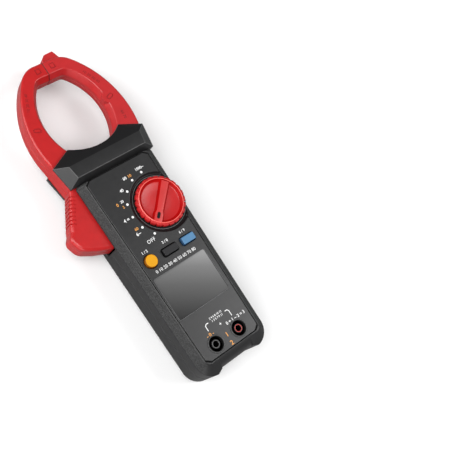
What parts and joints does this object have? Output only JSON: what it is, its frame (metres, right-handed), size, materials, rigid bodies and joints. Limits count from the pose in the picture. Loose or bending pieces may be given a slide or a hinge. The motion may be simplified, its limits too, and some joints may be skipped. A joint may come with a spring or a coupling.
{
  "type": "clamp meter",
  "caption": "Hand-held electrical clamp meter with an oval sprung jaw, side trigger, rotary range dial, push buttons, display window and probe jacks.",
  "frame": {"origin": "on the back rest face, on the housing's centreline, 69.7 mm from the lower end; the face panel is 33 mm above it", "axes": "+X to the right seen from the front, +Y from the probe jacks towards the jaw tips, +Z out of the face"},
  "size_m": [0.0859, 0.2331, 0.0352],
  "materials": {
    "housing_plastic": "dark charcoal, fine matte grain",
    "panel_plastic": "charcoal, satin",
    "lens_plastic": "smoked clear, gloss",
    "lcd_glass": "pale grey-green cell, satin",
    "bezel_plastic": "black",
    "backlight_plastic": "milky light guide",
    "strip_rubber": "soft contact strip",
    "board": "green board, gloss",
    "steel_screw": "plain zinc-plated",
    "chip_plastic": "black",
    "dial_red": "bright red, satin gloss",
    "pointer_dark": "dark grey fill",
    "rotor_plastic": "natural white",
    "contact_brass": "plated contact",
    "ball_steel": "polished",
    "spring_steel": "spring wire",
    "yellow_rubber": "warm yellow, satin",
    "grey_rubber": "dark grey, satin",
    "blue_rubber": "light blue, satin",
    "dome_rubber": "translucent grey",
    "well_black": "black, deep recess",
    "post_grey": "grey",
    "post_red": "red",
    "cell_jacket": "plain wrapped cell",
    "jaw_red": "red, satin",
    "core_steel": "stacked sheet core",
    "copper_wire": "enamelled wire",
    "pin_steel": "ground pin"
  },
  "bodies": {
    "housing": {"front_shell": "housing_plastic", "rear_shell": "housing_plastic", "face_panel": "panel_plastic", "display_window": "lens_plastic", "lcd_glass": "lcd_glass", "lcd_bezel": "bezel_plastic", "backlight_panel": "backlight_plastic", "lcd_strips": "strip_rubber", "main_board": "board", "board_screws": "steel_screw", "main_chip": "chip_plastic", "buzzer": "chip_plastic", "detent_ring": "rotor_plastic", "yellow_dome": "dome_rubber", "grey_dome": "dome_rubber", "blue_dome": "dome_rubber", "common_jack_well": "well_black", "common_jack_post": "post_grey", "common_jack_contact": "contact_brass", "input_jack_well": "well_black", "input_jack_post": "post_red", "input_jack_contact": "contact_brass", "battery_cells": "cell_jacket", "battery_plates": "contact_brass", "battery_springs": "spring_steel", "battery_door": "housing_plastic", "battery_door_screw": "steel_screw", "housing_screws": "steel_screw", "fixed_jaw_front": "jaw_red", "fixed_jaw_rear": "jaw_red", "fixed_core": "core_steel", "fixed_winding": "copper_wire", "jaw_pivot_pin": "pin_steel", "jaw_spring": "spring_steel"},
    "moving_jaw": {"moving_jaw_front": "jaw_red", "moving_jaw_rear": "jaw_red", "moving_core": "core_steel", "moving_winding": "copper_wire"},
    "dial": {"dial_knob": "dial_red", "dial_pointer": "pointer_dark", "dial_rotor": "rotor_plastic", "dial_wipers": "contact_brass", "detent_balls": "ball_steel", "detent_springs": "spring_steel"},
    "yellow_button": {"yellow_button": "yellow_rubber"},
    "grey_button": {"grey_button": "grey_rubber"},
    "blue_button": {"blue_button": "blue_rubber"}
  },
  "joints": [
    {"name": "jaw_pivot", "type": "hinge", "parent": "housing", "child": "moving_jaw", "pos_m": [-0.02, 0.086, 0.019], "axis": [0, 0, 1], "range_deg": [0, 24], "stiffness_Nm_per_rad": 0.5, "springref_deg": -51.57},
    {"name": "dial_turn", "type": "hinge", "parent": "housing", "child": "dial", "pos_m": [0.0126, 0.0415, 0.031], "axis": [0, 0, 1], "range_deg": [-135, 0]},
    {"name": "yellow_press", "type": "slide", "parent": "housing", "child": "yellow_button", "axis": [0, 0, -1], "range_m": [0, 0.0008], "stiffness_N_per_m": 400, "springref_m": -0.0008, "deforming": ["yellow_dome"]},
    {"name": "grey_press", "type": "slide", "parent": "housing", "child": "grey_button", "axis": [0, 0, -1], "range_m": [0, 0.0008], "stiffness_N_per_m": 400, "springref_m": -0.0008, "deforming": ["grey_dome"]},
    {"name": "blue_press", "type": "slide", "parent": "housing", "child": "blue_button", "axis": [0, 0, -1], "range_m": [0, 0.0008], "stiffness_N_per_m": 400, "springref_m": -0.0008, "deforming": ["blue_dome"]}
  ]
}
